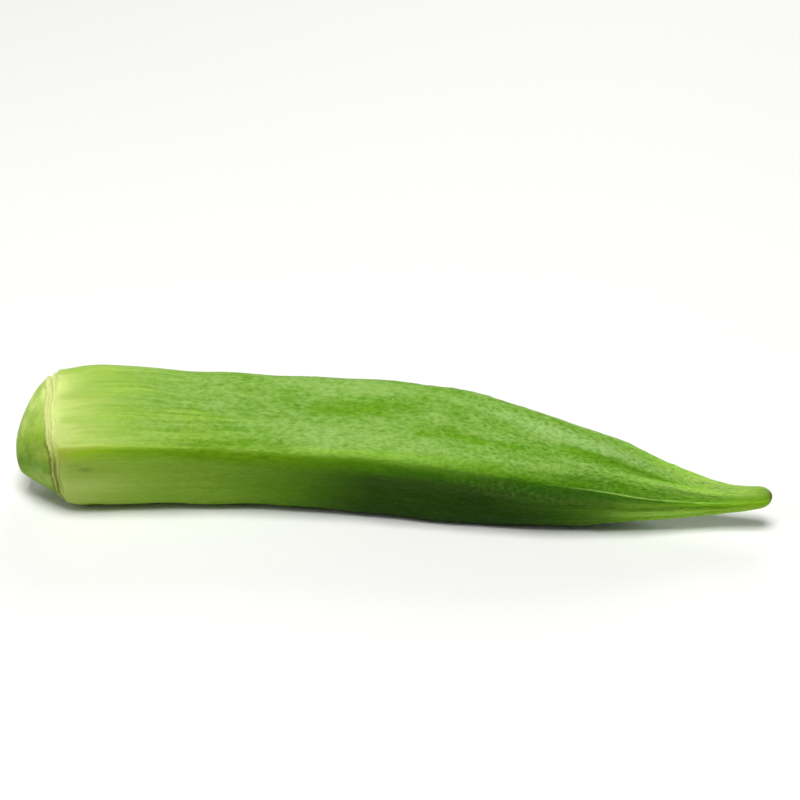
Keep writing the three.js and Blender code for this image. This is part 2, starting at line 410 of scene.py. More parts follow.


# Soft patches: along, angle in degrees, half length, half angle, how thick. Pale bloom with a
# painted sheen in it lies on the first, and the second have less of both. The third are deep
# green: those from the middle of the pod to the beak are painted shadow, and the small ones near
# the ring are dark marks. The fourth are almost white, mostly a painted highlight, and the last
# are a painted sheen where the bloom is thickest.
BLOOM_AND_SHEEN_PATCHES = [
    (28, 76, 9, 16, 0.7),
    (56, 84, 16, 7, 1.0),
    (72, 80, 9, 7, 0.7),
    (98, 75, 10, 8, 2.4),
    (72, 62, 8, 5, 0.6),
    (110, 45, 5, 6, 0.8),
    (45, 48, 16, 15, 0.6),
    (58, 34, 12, 14, 0.8),
    (74, 34, 9, 13, 0.6),
    (95, 42, 6, 9, 0.5),
    (84, 60, 8, 6, 0.9),
    (88, 31, 7, 7, 0.7),
    (73, 27, 6, 4, 0.8),
    (51, 30, 6, 6, 0.8),
    (22, 50, 10, 25, 0.35),
    (112, -26, 14, 18, 0.6),
    (60, 128, 45, 16, 0.6),
    (70, 200, 40, 25, 0.4),
]
LESS_BLOOM_AND_SHEEN_PATCHES = [
    (57, 63, 7, 7, 0.9),
    (71, 46, 8, 5, 0.8),
    (80, 45, 6, 6, 0.7),
    (79, 77, 5, 5, 0.6),
    (36, 27, 9, 6, 0.7),
    (25, 33, 8, 7, 0.55),
    (33, 44, 7, 7, 0.5),
    (30, 52, 7, 6, 0.4),
    (70, 77, 7, 5, 0.8),
    (96, 60, 5, 6, 0.6),
    (104, 62, 7, 7, 1.6),
    (112, 60, 6, 7, 1.4),
]
DEEP_AND_SHADOW_PATCHES = [
    (68, -46, 16, 26, 1.0),
    (84, -46, 14, 26, 0.8),
    (96, -10, 12, 14, 0.2),
    (108, 61, 8, 6, 0.55),
    (10.5, 69, 4, 6, 0.2),
    (12, -2.5, 1.1, 2.4, 0.4),
    (10.3, 2.5, 1.6, 2, 0.2),
    (3.6, 24, 1.4, 11, 0.2),
]
PALE_HIGHLIGHT_PATCHES = [
    (9.5, 76, 3, 10, 0.8),
    (8, 50, 1.5, 22, 0.4),
    (12, -24, 8, 12, 0.35),
    (4.5, -30, 2.5, 15, 0.2),
    (4.6, 78, 4.4, 30, 0.95),
    (117, 84, 9, 12, 0.25),
    (10.5, 50, 4, 9, 0.32),
    (15, 24, 9, 4, 0.22),
    (30, 37, 6, 3.5, 0.15),
    (50, 23, 12, 3, 0.12),
]
PAINTED_SHEEN_PATCHES = [
    (97, 74, 12, 6, 0.9),
    (86, 79, 8, 5, 0.45),
    (125, 80, 8, 22, 0.25),
    (3.4, -8, 1.2, 9, 0.3),
]

# Where the lit side, with its painted light, fades into the shaded side, with its painted shade,
# below and above the ridge's own line, along the pod. It fades more softly on the cap, which has
# no ridges, and over the ridge at the back.
FADE_UNDER = [(0, 0.1), (30, 0.1), (49, -0.6), (60, -1.0), (76, -1.8), (86, -0.9), (95, -0.1),
              (LENGTH, 0)]
FADE_OVER = [(0, 0.7), (30, 0.8), (49, 1.1), (76, 1.4), (86, 1.4), (95, 0.6), (115, 0.28),
             (LENGTH, 0.14)]
FADE_BACK = 0.6
CAP_SOFTER_BY = 5
CAP_SOFTER_SPAN = (RING_ALONG - 1, RING_ALONG + 2)

# How far the colours of a ridge's edges reach over it and under it, along the pod, and for
# what share of that reach they are at their fullest.
EDGE_OVER = [(0, 1.6), (30, 1.7), (60, 2.3), (88, 3.4), (102, 3.4), (110, 2.3), (118, 1.6),
             (129, 1.5)]
EDGE_UNDER = [(0, 3.0), (30, 3.0), (50, 4.6), (75, 4.8), (95, 4.0), (112, 2.5), (129, 2.0)]
EDGE_OVER_FULL = 0.3
EDGE_UNDER_FULL = 0.2

# Where each point lies: from the ridges, the middle ribs, the ring and the cut, over or under
# the ridge in front, past the ridge at the back, and on the straightened pod, with x along it
# and y and z round a drum as wide as its ridges.
DRUM = 12
flat_along = np.append(along_rows.ravel(), [0, LENGTH])
flat_angle = np.append(angle_rows.ravel(), [0, 0])
across, face_width = across_face(flat_angle)
skin_radius = ridge_radius(flat_along)
face_length = skin_radius * face_width
straight = np.stack([flat_along, -DRUM * np.cos(flat_angle), DRUM * np.sin(flat_angle)], axis=1)
from_cut = np.ones(len(points))
from_cut[:len(CUT_SHARES) * count_round] = np.repeat(CUT_SHARES, count_round)
from_cut[cut_index] = 0
turn_from_ridge = (flat_angle - RIDGES[0] + math.pi / 2) % FULL_TURN - math.pi / 2
above_ridge = skin_radius * turn_from_ridge
past_back = skin_radius * (turn_from_ridge - RIDGES[2] + RIDGES[0])
soft = CAP_SOFTER_BY * (1 - ease(flat_along, *CAP_SOFTER_SPAN))
# How far each point lies on the lit side, which sets the skin's painted light and shade.
lit_side = ease(above_ridge, curve(FADE_UNDER, flat_along) - soft, curve(FADE_OVER, flat_along) + soft)
lit_side *= 1 - ease(past_back, -FADE_BACK - soft, FADE_BACK + soft)
over_share = above_ridge / curve(EDGE_OVER, flat_along)
under_share = -above_ridge / curve(EDGE_UNDER, flat_along)


def thickness_of(patches):
    """Adds up soft round patches, each thickest at its middle."""
    total = np.zeros(len(points))
    for patch_along, patch_angle, half_length, half_angle, depth in patches:
        off_along = (flat_along - patch_along) / half_length
        off_angle = (flat_angle - math.radians(patch_angle) + math.pi) % FULL_TURN - math.pi
        total += depth * np.exp(-off_along ** 2 - (off_angle / math.radians(half_angle)) ** 2)
    return total


add_place(skin_mesh, "straight", straight)
add_number(skin_mesh, "along", flat_along)
add_number(skin_mesh, "from_ridge", face_length * np.minimum(across, 1 - across))
add_number(skin_mesh, "from_rib", face_length * (across - curve(RIB_ACROSS, flat_along)))
add_number(skin_mesh, "from_ring", flat_along - RING_ALONG - ring_wander(flat_angle))
add_number(skin_mesh, "from_cut", from_cut)
add_number(skin_mesh, "lit_side", lit_side)
add_number(skin_mesh, "above_ridge", above_ridge)
add_number(skin_mesh, "over_edge", 1 - ease(over_share, EDGE_OVER_FULL, 1))
add_number(skin_mesh, "under_edge", 1 - ease(under_share, EDGE_UNDER_FULL, 1))

add_number(skin_mesh, "bloom_and_sheen", thickness_of(BLOOM_AND_SHEEN_PATCHES))
add_number(skin_mesh, "less_bloom_and_sheen", thickness_of(LESS_BLOOM_AND_SHEEN_PATCHES))
add_number(skin_mesh, "deep_and_shadow", thickness_of(DEEP_AND_SHADOW_PATCHES))
add_number(skin_mesh, "pale", thickness_of(PALE_HIGHLIGHT_PATCHES))
add_number(skin_mesh, "painted_sheen", thickness_of(PAINTED_SHEEN_PATCHES))


def feed(tree, socket, value):
    """Joins a value to a socket: another node's output by a link, a plain value directly."""
    if isinstance(value, bpy.types.NodeSocket):
        tree.links.new(value, socket)
    else:
        socket.default_value = value


def read(tree, name, what="Fac"):
    """What the mesh says at each point of its surface."""
    node = tree.nodes.new("ShaderNodeAttribute")
    node.attribute_name = name
    return node.outputs[what]


def sum_of(tree, first, second, way="ADD"):
    """Two numbers added up, or joined in another way of arithmetic."""
    node = tree.nodes.new("ShaderNodeMath")
    node.operation = way
    feed(tree, node.inputs[0], first)
    feed(tree, node.inputs[1], second)
    return node.outputs[0]


def product(tree, first, *others):
    """All the numbers multiplied."""
    for other in others:
        first = sum_of(tree, first, other, "MULTIPLY")
    return first


def between(tree, value, low, high, from_low=0.0, to_high=1.0):
    """Eases from one number to another while the value goes from low to high."""
    node = tree.nodes.new("ShaderNodeMapRange")
    node.interpolation_type = "SMOOTHSTEP"
    feed(tree, node.inputs["Value"], value)
    node.inputs["From Min"].default_value = low
    node.inputs["From Max"].default_value = high
    node.inputs["To Min"].default_value = from_low
    node.inputs["To Max"].default_value = to_high
    return node.outputs["Result"]


def place_from(tree, way, *places):
    """Two or three places joined by one way of vector arithmetic."""
    node = tree.nodes.new("ShaderNodeVectorMath")
    node.operation = way
    for socket, value in zip(node.inputs, places):
        feed(tree, socket, value)
    return node.outputs[0]


NOISE_MIDDLE = 0.5


def grain(tree, where, cells, detail, roughness, shift, what="Fac"):
    """Noise from 0 to 1, with so many cells to a unit of the place along each axis."""
    node = tree.nodes.new("ShaderNodeTexNoise")
    node.inputs["Scale"].default_value = 1
    node.inputs["Detail"].default_value = detail
    node.inputs["Roughness"].default_value = roughness
    stretched = place_from(tree, "MULTIPLY_ADD", where, cells, (shift, shift, shift))
    feed(tree, node.inputs["Vector"], stretched)
    return node.outputs[what]


def spots(tree, where, cells, size):
    """Scattered round spots: 1 in a spot's middle and 0 from its edge on."""
    node = tree.nodes.new("ShaderNodeTexVoronoi")
    node.inputs["Scale"].default_value = 1
    feed(tree, node.inputs["Vector"], place_from(tree, "MULTIPLY", where, cells))
    return between(tree, node.outputs["Distance"], 0.0, size, 1.0, 0.0)


def wavering(tree, where, depth, waver):
    """Moves a place a little to and fro, so that what grows there isn't ruled straight."""
    noise = grain(tree, where, *waver, what="Color")
    centred = place_from(tree, "SUBTRACT", noise, (NOISE_MIDDLE, NOISE_MIDDLE, NOISE_MIDDLE))
    return place_from(tree, "MULTIPLY_ADD", centred, depth, where)


def swing(tree, noise, width):
    """A noise made to swing both ways about nought."""
    return product(tree, sum_of(tree, noise, -NOISE_MIDDLE), width)


def band(tree, value, middle, half):
    """1 at the middle of a band and 0 from its edges on."""
    off = sum_of(tree, sum_of(tree, value, -middle), 0.0, "ABSOLUTE")
    return between(tree, off, half, 0, 0, 1)


RAMP_MIDDLE = 0.5


def colours_along(tree, value, stops):
    """Colours at places along the pod, with smooth changes between them."""
    share = tree.nodes.new("ShaderNodeMapRange")
    feed(tree, share.inputs["Value"], value)
    share.inputs["From Max"].default_value = LENGTH
    node = tree.nodes.new("ShaderNodeValToRGB")
    ramp = node.color_ramp
    while len(ramp.elements) < len(stops):
        ramp.elements.new(RAMP_MIDDLE)
    for element, (place_along, colour) in zip(ramp.elements, stops):
        element.position = place_along / LENGTH
        element.color = (*colour, 1)
    feed(tree, node.inputs[0], share.outputs[0])
    return node.outputs["Color"]


# A mix node has a share and then sockets for each kind of value: these are its numbers' and
# its colours'.
MIX_SHARE = 0
MIX_NUMBERS = (2, 3)
MIX_COLOURS = (6, 7)
MIXED_NUMBER = 0
MIXED_COLOUR = 2


def mixed(tree, share, *numbers):
    """Goes from one number to another as the share goes from 0 to 1."""
    node = tree.nodes.new("ShaderNodeMix")
    feed(tree, node.inputs[MIX_SHARE], share)
    for socket, number in zip(MIX_NUMBERS, numbers):
        feed(tree, node.inputs[socket], number)
    return node.outputs[MIXED_NUMBER]


def tinted(tree, share, colour, tint, way="MIX"):
    """A colour with a share of another laid over it."""
    node = tree.nodes.new("ShaderNodeMix")
    node.data_type = "RGBA"
    node.blend_type = way
    feed(tree, node.inputs[MIX_SHARE], share)
    for socket, paint in zip(MIX_COLOURS, (colour, tint)):
        feed(tree, node.inputs[socket], (*paint, 1) if isinstance(paint, tuple) else paint)
    return node.outputs[MIXED_COLOUR]


# Colours of the skin from the cap over the pale base to the tip: on the lit side, at its edge
# over the ridge, at the edge under the ridge, and on the shaded side. They are lit and shaded
# copies of the skin's green, painted light and shade over its own pale base and green, and the
# shaded side holds a painted shadow from the middle of the pod to the beak.
LIT_SIDE = [
    (0, (0.26, 0.43, 0.026)),
    (5.7, (0.25, 0.43, 0.028)),
    (7.5, (0.50, 0.59, 0.190)),
    (11, (0.36, 0.49, 0.098)),
    (17, (0.25, 0.42, 0.053)),
    (26, (0.17, 0.34, 0.023)),
    (40, (0.14, 0.31, 0.014)),
    (75, (0.13, 0.31, 0.011)),
    (100, (0.14, 0.34, 0.013)),
    (110, (0.28, 0.58, 0.042)),
    (118, (0.48, 0.78, 0.120)),
    (125, (0.52, 0.81, 0.130)),
    (129, (0.34, 0.58, 0.030)),
]
LIT_EDGE = [
    (0, (0.18, 0.34, 0.020)),
    (7.5, (0.47, 0.57, 0.150)),
    (12, (0.40, 0.54, 0.100)),
    (18, (0.34, 0.51, 0.070)),
    (24, (0.26, 0.44, 0.040)),
    (32, (0.17, 0.34, 0.016)),
    (42, (0.20, 0.38, 0.030)),
    (56, (0.27, 0.49, 0.055)),
    (74, (0.22, 0.43, 0.038)),
    (84, (0.14, 0.31, 0.012)),
    (92, (0.09, 0.22, 0.005)),
    (100, (0.05, 0.16, 0.001)),
    (110, (0.075, 0.21, 0.002)),
    (118, (0.09, 0.25, 0.001)),
    (129, (0.20, 0.43, 0.008)),
]
SHADED_EDGE = [
    (0, (0.15, 0.28, 0.018)),
    (7.5, (0.30, 0.38, 0.040)),
    (12, (0.24, 0.40, 0.016)),
    (20, (0.15, 0.31, 0.006)),
    (32, (0.12, 0.26, 0.003)),
    (44, (0.115, 0.26, 0.003)),
    (54, (0.080, 0.21, 0.001)),
    (70, (0.058, 0.185, 0.001)),
    (86, (0.026, 0.105, 0.001)),
    (100, (0.038, 0.155, 0.001)),
    (110, (0.085, 0.24, 0.002)),
    (118, (0.23, 0.54, 0.006)),
    (129, (0.29, 0.57, 0.012)),
]
SHADED_SIDE = [
    (0, (0.19, 0.33, 0.022)),
    (5.7, (0.16, 0.30, 0.016)),
    (7.5, (0.33, 0.43, 0.090)),
    (12, (0.26, 0.40, 0.052)),
    (20, (0.23, 0.39, 0.038)),
    (30, (0.19, 0.34, 0.026)),
    (42, (0.125, 0.255, 0.011)),
    (52, (0.070, 0.170, 0.004)),
    (62, (0.019, 0.061, 0.001)),
    (82, (0.016, 0.054, 0.001)),
    (94, (0.042, 0.120, 0.002)),
    (102, (0.100, 0.220, 0.012)),
    (110, (0.28, 0.54, 0.050)),
    (118, (0.35, 0.61, 0.062)),
    (129, (0.38, 0.64, 0.055)),
]

# Grains: cells to the millimetre along the pod and in the two ways across it, how many finer
# layers of noise lie on them, how strong those are, and a shift that sets each grain apart.
LONG_STREAK_GRAIN = ((0.03, 0.75, 0.75), 3, 0.45, 0)
FINE_STREAK_GRAIN = ((0.05, 2.0, 2.0), 3, 0.55, 7)
MOTTLE_GRAIN = ((0.75, 1.4, 1.4), 2, 0.5, 5)
FINE_MOTTLE_GRAIN = ((1.1, 2.6, 2.6), 2, 0.5, 13)
ROUND_MOTTLE_GRAIN = ((1.25, 1.5, 1.5), 2, 0.5, 17)
PATCH_GRAIN = ((0.10, 0.30, 0.30), 3, 0.5, 3)
CLOUD_GRAIN = ((0.22, 0.60, 0.60), 3, 0.5, 29)
WAVER_GRAIN = ((0.10, 0.30, 0.30), 2, 0.5, 0)
WAVER_DEPTH = (3.0, 0.8, 0.8)
MOTTLE_ROUNDS = (60, 85)

skin_material = bpy.data.materials.new("okra_skin")
skin_material.use_nodes = True
tree = skin_material.node_tree
shader = tree.nodes["Principled BSDF"]
drum = wavering(tree, read(tree, "straight", "Vector"), WAVER_DEPTH, WAVER_GRAIN)
on_pod = tree.nodes.new("ShaderNodeTexCoord").outputs["Object"]
along = read(tree, "along")
from_ridge = read(tree, "from_ridge")
from_rib = read(tree, "from_rib")
above_ridge = read(tree, "above_ridge")
from_ring = read(tree, "from_ring")
from_cut = read(tree, "from_cut")
lit_side = read(tree, "lit_side")
long_streak = grain(tree, drum, *LONG_STREAK_GRAIN)
fine_streak = grain(tree, drum, *FINE_STREAK_GRAIN)
mottle = grain(tree, drum, *MOTTLE_GRAIN)
fine_mottle = grain(tree, drum, *FINE_MOTTLE_GRAIN)
round_mottle = grain(tree, drum, *ROUND_MOTTLE_GRAIN)
mottle = mixed(tree, between(tree, along, *MOTTLE_ROUNDS), mottle, round_mottle)
patches = grain(tree, drum, *PATCH_GRAIN)
clouds = grain(tree, drum, *CLOUD_GRAIN)


def by_sun(in_shade, on_lit_side):
    """Goes from one strength in the shade to another in the sun."""
    return between(tree, lit_side, 0, 1, in_shade, on_lit_side)


# From here on, two numbers say where a layer starts and where it is full: a distance in
# millimetres, or how strong a grain or the sun is. Two more say how strong the layer is at
# the one and at the other. Two numbers of a band are its middle and how far it reaches to
# either side, and two alone by sun are a layer's strength in the shade and in the sun.

# The fruit is streaked near its base and mottled further on.
FRUIT_STARTS = (7.6, 10)
STREAKS_START = (9, 18)
STREAKS_END = (26, 50, 1, 0.1)
STREAKS_BY_SUN = (0.4, 1)
MOTTLE_STARTS = (10, 34, 0.25, 1)
FLECKS_BY_SUN = (0.6, 1)
FLECKS_GROW = (60, 95, 1, 1.4)
on_fruit = between(tree, along, *FRUIT_STARTS)
streaked = product(tree, between(tree, along, *STREAKS_START), between(tree, along, *STREAKS_END),
                   by_sun(*STREAKS_BY_SUN))
mottled = product(tree, on_fruit, between(tree, along, *MOTTLE_STARTS))
flecked = product(tree, mottled, by_sun(*FLECKS_BY_SUN), between(tree, along, *FLECKS_GROW))

# The pale base runs up some streaks further than up others, but never back onto the cap.
RUN_LENGTHS = (25, 55, 18, 6)
RUN_FROM = 8.5
off_middle = sum_of(tree, long_streak, -NOISE_MIDDLE)
run = product(tree, off_middle, on_fruit, between(tree, along, *RUN_LENGTHS))
run_floor = sum_of(tree, along, RUN_FROM, "MINIMUM")
reading = sum_of(tree, sum_of(tree, along, run), run_floor, "MAXIMUM")

# The colours of both sides and their edges, lit and shaded with paint, and the deep green over
# them, which is mostly painted shadow.
DEEP_AND_SHADOW_GREEN = (0.012, 0.045, 0.001)
UNEVEN = (0.3, 0.6, 0.75, 1)
uneven = between(tree, patches, *UNEVEN)
over_edge = product(tree, read(tree, "over_edge"), uneven)
under_edge = product(tree, read(tree, "under_edge"), uneven)
lit_colour = tinted(tree, over_edge, colours_along(tree, reading, LIT_SIDE),
                      colours_along(tree, reading, LIT_EDGE))
shaded_colour = tinted(tree, under_edge, colours_along(tree, reading, SHADED_SIDE),
                       colours_along(tree, reading, SHADED_EDGE))
colour = tinted(tree, lit_side, shaded_colour, lit_colour)
colour = tinted(tree, product(tree, read(tree, "deep_and_shadow"), uneven), colour, DEEP_AND_SHADOW_GREEN)

# Pale veins on the streaked base.
VEIN_PALE = (0.46, 0.64, 0.12)
PALE_VEINS = (0.44, 0.66, 0, 0.45)
FINE_PALE_VEINS = (0.50, 0.70, 0, 0.2)
for streak, breaks in ((long_streak, PALE_VEINS), (fine_streak, FINE_PALE_VEINS)):
    pale_veins = product(tree, streaked, between(tree, streak, *breaks))
    colour = tinted(tree, pale_veins, colour, VEIN_PALE)

# The waxy bloom, with a painted sheen in it, adds up from its patches and the grains, and shows
# between two thicknesses. It lies almost only on the lit side.
BLOOM_AND_SHEEN = (0.275, 0.45, 0.108)
BLOOM_AND_SHEEN_FROM_PATCHES = 0.48
BLOOM_AND_SHEEN_TAKEN_OFF = -0.60
BLOOM_AND_SHEEN_FROM_GRAINS = (1.4, 1.4, 0.7, 0.4)
BLOOM_AND_SHEEN_SHOWS = (-0.55, 0.80)
BLOOM_AND_SHEEN_BY_SUN = (0.12, 1)
BLOOM_AND_SHEEN_AT_EDGE = 0.25
bloom_and_sheen = sum_of(tree, product(tree, read(tree, "bloom_and_sheen"), BLOOM_AND_SHEEN_FROM_PATCHES),
               product(tree, read(tree, "less_bloom_and_sheen"), BLOOM_AND_SHEEN_TAKEN_OFF))
for noise, width in zip((patches, clouds, mottle, fine_mottle), BLOOM_AND_SHEEN_FROM_GRAINS):
    bloom_and_sheen = sum_of(tree, bloom_and_sheen, swing(tree, noise, width))
bloom_and_sheen_share = product(tree, between(tree, bloom_and_sheen, *BLOOM_AND_SHEEN_SHOWS), mottled, by_sun(*BLOOM_AND_SHEEN_BY_SUN))
bloom_and_sheen_share = product(tree, bloom_and_sheen_share, between(tree, over_edge, 0, 1, 1, BLOOM_AND_SHEEN_AT_EDGE))
colour = tinted(tree, bloom_and_sheen_share, colour, BLOOM_AND_SHEEN)

# The almost white patches, mostly a painted highlight, and a painted sheen where the bloom is
# thickest.
PALE_HIGHLIGHT_GREEN = (0.60, 0.72, 0.22)
PAINTED_SHEEN_GREEN = (0.35, 0.55, 0.19)
colour = tinted(tree, product(tree, read(tree, "pale"), uneven), colour, PALE_HIGHLIGHT_GREEN)
colour = tinted(tree, product(tree, read(tree, "painted_sheen"), uneven), colour, PAINTED_SHEEN_GREEN)

# The rib in the middle of each face is pale near the beak, a painted highlight on its lit flank,
# with painted shade in the crease beside it.
RIB_HIGHLIGHT = (0.40, 0.66, 0.14)
RIB_CREASE_SHADE = (0.05, 0.17, 0.004)
RIB_BAND = (0, 1.3)
RIB_ALONG = (110, 11)
RIB_SHARE = 0.5
CREASE_BAND = (1.15, 0.5)
CREASE_ALONG = (108, 8)
CREASE_SHARE = 0.4
rib = product(tree, band(tree, from_rib, *RIB_BAND), band(tree, along, *RIB_ALONG), RIB_SHARE)
colour = tinted(tree, rib, colour, RIB_HIGHLIGHT)
crease_shade = product(tree, band(tree, from_rib, *CREASE_BAND), band(tree, along, *CREASE_ALONG),
                 CREASE_SHARE)
colour = tinted(tree, crease_shade, colour, RIB_CREASE_SHADE)

# Dark flecks: fine streaks on the base, and mottle on the rest.
DARKER = (0.50, 0.66, 0.30)
DARK_VEINS = (0.50, 0.28, 0, 0.35)
DARK_MOTTLE = (0.62, 0.34, 0, 0.36)
DARK_FINE_MOTTLE = (0.60, 0.32, 0, 0.35)
flecks = product(tree, streaked, between(tree, fine_streak, *DARK_VEINS))
for noise, breaks in ((mottle, DARK_MOTTLE), (fine_mottle, DARK_FINE_MOTTLE)):
    flecks = sum_of(tree, flecks, product(tree, flecked, between(tree, noise, *breaks)))
colour = tinted(tree, flecks, colour, DARKER, "MULTIPLY")

# Pale freckles lie under the ridge, on the shaded side. Their grain and the cap's have cells
# to the metre, because they lie on the pod as it is and not on the straightened one.
FRECKLE = (0.13, 0.26, 0.035)
FRECKLE_GRAIN = ((1500, 1500, 900), 2, 0.6, 41)
FRECKLES = (0.44, 0.66)
FRECKLES_ALONG = (90, 24)
FRECKLES_BAND = (-2.6, 3.2)
FRECKLES_BY_SUN = (0.45, 0)
freckles = product(tree, between(tree, grain(tree, on_pod, *FRECKLE_GRAIN), *FRECKLES),
                   band(tree, along, *FRECKLES_ALONG), band(tree, above_ridge, *FRECKLES_BAND),
                   by_sun(*FRECKLES_BY_SUN))
colour = tinted(tree, freckles, colour, FRECKLE)

# The cap is smooth and cloudy.
CAP_GRAIN = ((300, 300, 300), 5, 0.6, 31)
CAP_STARTS = (6.6, 5.4)
CAP_CLOUDS = (0.62, 0.36, 0, 0.7)
on_cap = between(tree, along, *CAP_STARTS)
cap_grain = grain(tree, on_pod, *CAP_GRAIN)
cap_shade = product(tree, on_cap, between(tree, cap_grain, *CAP_CLOUDS))
colour = tinted(tree, cap_shade, colour, DARKER, "MULTIPLY")

# The ridges' crest lines are pale near the beak: a paler line of their own with a painted
# highlight on it.
RIDGE_PALE_HIGHLIGHT = (0.34, 0.58, 0.11)
CREST_WIDTH = (0.04, 0.22, 1, 0)
CREST_STARTS = (90, 104)
CREST_ENDS = (127, 118)
CREST_BREAKS = (0.3, 0.6, 0.3, 0.75)
crest = product(tree, between(tree, from_ridge, *CREST_WIDTH),
                between(tree, along, *CREST_STARTS), between(tree, along, *CREST_ENDS),
                between(tree, fine_streak, *CREST_BREAKS))
colour = tinted(tree, crest, colour, RIDGE_PALE_HIGHLIGHT)

# Scattered specks and the dark dots beside the ridge: cells to the millimetre, then how far
# a spot reaches across its cell.
SPECK_PALE = (0.62, 0.72, 0.42)
SPECK_DARK = (0.05, 0.12, 0.01)
PALE_SPECKS = ((0.17, 0.19, 0.19), 0.06)
PALE_SPECK_SHARE = 0.3
DARK_SPECKS = ((0.20, 0.24, 0.22), 0.08)
DARK_SPECK_SHARE = 0.7
RIDGE_DOTS = ((0.30, 0.75, 0.75), 0.32)
DOTS_BAND = (-0.3, 2.0)
DOTS_ALONG = (46, 34)
DOT_SHARE = 0.8
pale_specks = product(tree, spots(tree, drum, *PALE_SPECKS), on_fruit, lit_side, PALE_SPECK_SHARE)
colour = tinted(tree, pale_specks, colour, SPECK_PALE)
dark_specks = product(tree, spots(tree, drum, *DARK_SPECKS), on_fruit, DARK_SPECK_SHARE)
colour = tinted(tree, dark_specks, colour, SPECK_DARK)
ridge_dots = product(tree, spots(tree, drum, *RIDGE_DOTS), band(tree, above_ridge, *DOTS_BAND),
                     band(tree, along, *DOTS_ALONG), DOT_SHARE)
colour = tinted(tree, ridge_dots, colour, SPECK_DARK)

# The scar ring: a pale bed, lighter on the lit side and darker on the shaded side with painted
# light and shade, an olive groove at the cap's side of it with painted shade in it that is
# strongest on the shaded side, two cream rims with a brown groove between them and brown flecks at
# their edges, all of them ragged and worn.
SCAR_BED_LIT = (0.58, 0.63, 0.24)
SCAR_BED_SHADED = (0.29, 0.36, 0.065)
SCAR_OLIVE_SHADE = (0.12, 0.155, 0.014)
SCAR_CREAM = (0.66, 0.68, 0.36)
SCAR_MAROON = (0.20, 0.10, 0.045)
SCAR_GRAIN = ((2.2, 0.9, 0.9), 4, 0.65, 19)
SCAR_WANDER_GRAIN = ((0.5, 0.6, 0.6), 3, 0.6, 23)
RING_STRAYS = 0.9
SCAR_WORN = (0.40, 0.58, 0.1, 1)
BED_CAP_SIDE = (-0.95, -0.55)
BED_FRUIT_SIDE = (1.1, 0.6)
BED_SHARE = 0.75
CAP_GROOVE_BAND = (-0.85, 0.5)
CAP_GROOVE_BREAKS = (0.36, 0.52, 0.6, 1)
CAP_GROOVE_BY_SUN = (0.5, 1, 0.9, 0.15)
RIM_TOPS = (0.43, 0.24)
RIM_TOPS_BY_SUN = (0.35, 0.45)
GROOVE_WIDTH = (0.24, 0.05)
GROOVE_BY_SUN = (0.12, 0.1)
RIM_EDGES = (0.75, 0.22)
RIM_EDGE_BREAKS = (0.45, 0.62)
RIM_EDGE_SHARE = 0.3
scar_grain = grain(tree, drum, *SCAR_GRAIN)
scar_wander = grain(tree, drum, *SCAR_WANDER_GRAIN)
from_ring = sum_of(tree, from_ring, swing(tree, scar_wander, RING_STRAYS))
off_ring = sum_of(tree, from_ring, 0.0, "ABSOLUTE")
worn = between(tree, scar_grain, *SCAR_WORN)
bed_share = product(tree, between(tree, from_ring, *BED_CAP_SIDE),
                    between(tree, from_ring, *BED_FRUIT_SIDE), BED_SHARE)
colour = tinted(tree, bed_share, colour, tinted(tree, lit_side, SCAR_BED_SHADED, SCAR_BED_LIT))
cap_groove_shade = product(tree, band(tree, from_ring, *CAP_GROOVE_BAND),
                     between(tree, scar_grain, *CAP_GROOVE_BREAKS),
                     between(tree, lit_side, *CAP_GROOVE_BY_SUN))
colour = tinted(tree, cap_groove_shade, colour, SCAR_OLIVE_SHADE)
rim_tops = product(tree, band(tree, off_ring, *RIM_TOPS), worn, by_sun(*RIM_TOPS_BY_SUN))
colour = tinted(tree, rim_tops, colour, SCAR_CREAM)
groove = product(tree, between(tree, off_ring, *GROOVE_WIDTH), worn, by_sun(*GROOVE_BY_SUN))
colour = tinted(tree, groove, colour, SCAR_MAROON)
rim_edges = product(tree, band(tree, off_ring, *RIM_EDGES),
                    between(tree, scar_grain, *RIM_EDGE_BREAKS), RIM_EDGE_SHARE)
colour = tinted(tree, rim_edges, colour, SCAR_MAROON)

# A tan stain beside the ring, just under the ridge.
STAIN_TAN = (0.30, 0.30, 0.06)
STAIN_FROM_RING = (1.8, 1.6)
STAIN_BAND = (-1.2, 1.4)
STAIN_SHARE = 0.5
stain = product(tree, band(tree, from_ring, *STAIN_FROM_RING),
                band(tree, above_ridge, *STAIN_BAND), STAIN_SHARE)
colour = tinted(tree, stain, colour, STAIN_TAN)

# The cut of the stalk: pale pith in the middle, woody flesh round it, and a brown dried rim.
# Both of their edges are shares of the way from the cut's middle to its rim. The tip of the
# pod has a brown scar, where the flower's style broke off.
CUT_BROWN = (0.22, 0.15, 0.05)
CUT_WOOD = (0.36, 0.40, 0.14)
CUT_PITH = (0.62, 0.62, 0.36)
CUT_GRAIN = ((1.5, 0.5, 0.5), 5, 0.7, 37)
CUT_STRAYS = 0.5
CUT_RIM_STRAYS = 0.6
TIP_STRAYS = 1.6
PITH_EDGE = (0.30, 0.42)
PITH_FLECKS = (0.45, 0.62, 0, 0.5)
BROWN_RIM = (0.80, 0.94)
CUT_STARTS = (0.30, 0.1)
TIP_SCAR = (129.4, 129.8, 0, 0.9)
cut_grain = grain(tree, drum, *CUT_GRAIN)
ragged_cut = sum_of(tree, from_cut, swing(tree, cut_grain, CUT_STRAYS))
cut_colour = tinted(tree, between(tree, ragged_cut, *PITH_EDGE), CUT_PITH, CUT_WOOD)
cut_colour = tinted(tree, between(tree, cut_grain, *PITH_FLECKS), cut_colour, CUT_PITH)
cut_colour = tinted(tree, between(tree, ragged_cut, *BROWN_RIM), cut_colour, CUT_BROWN)
ragged_rim = sum_of(tree, along, swing(tree, cap_grain, CUT_RIM_STRAYS))
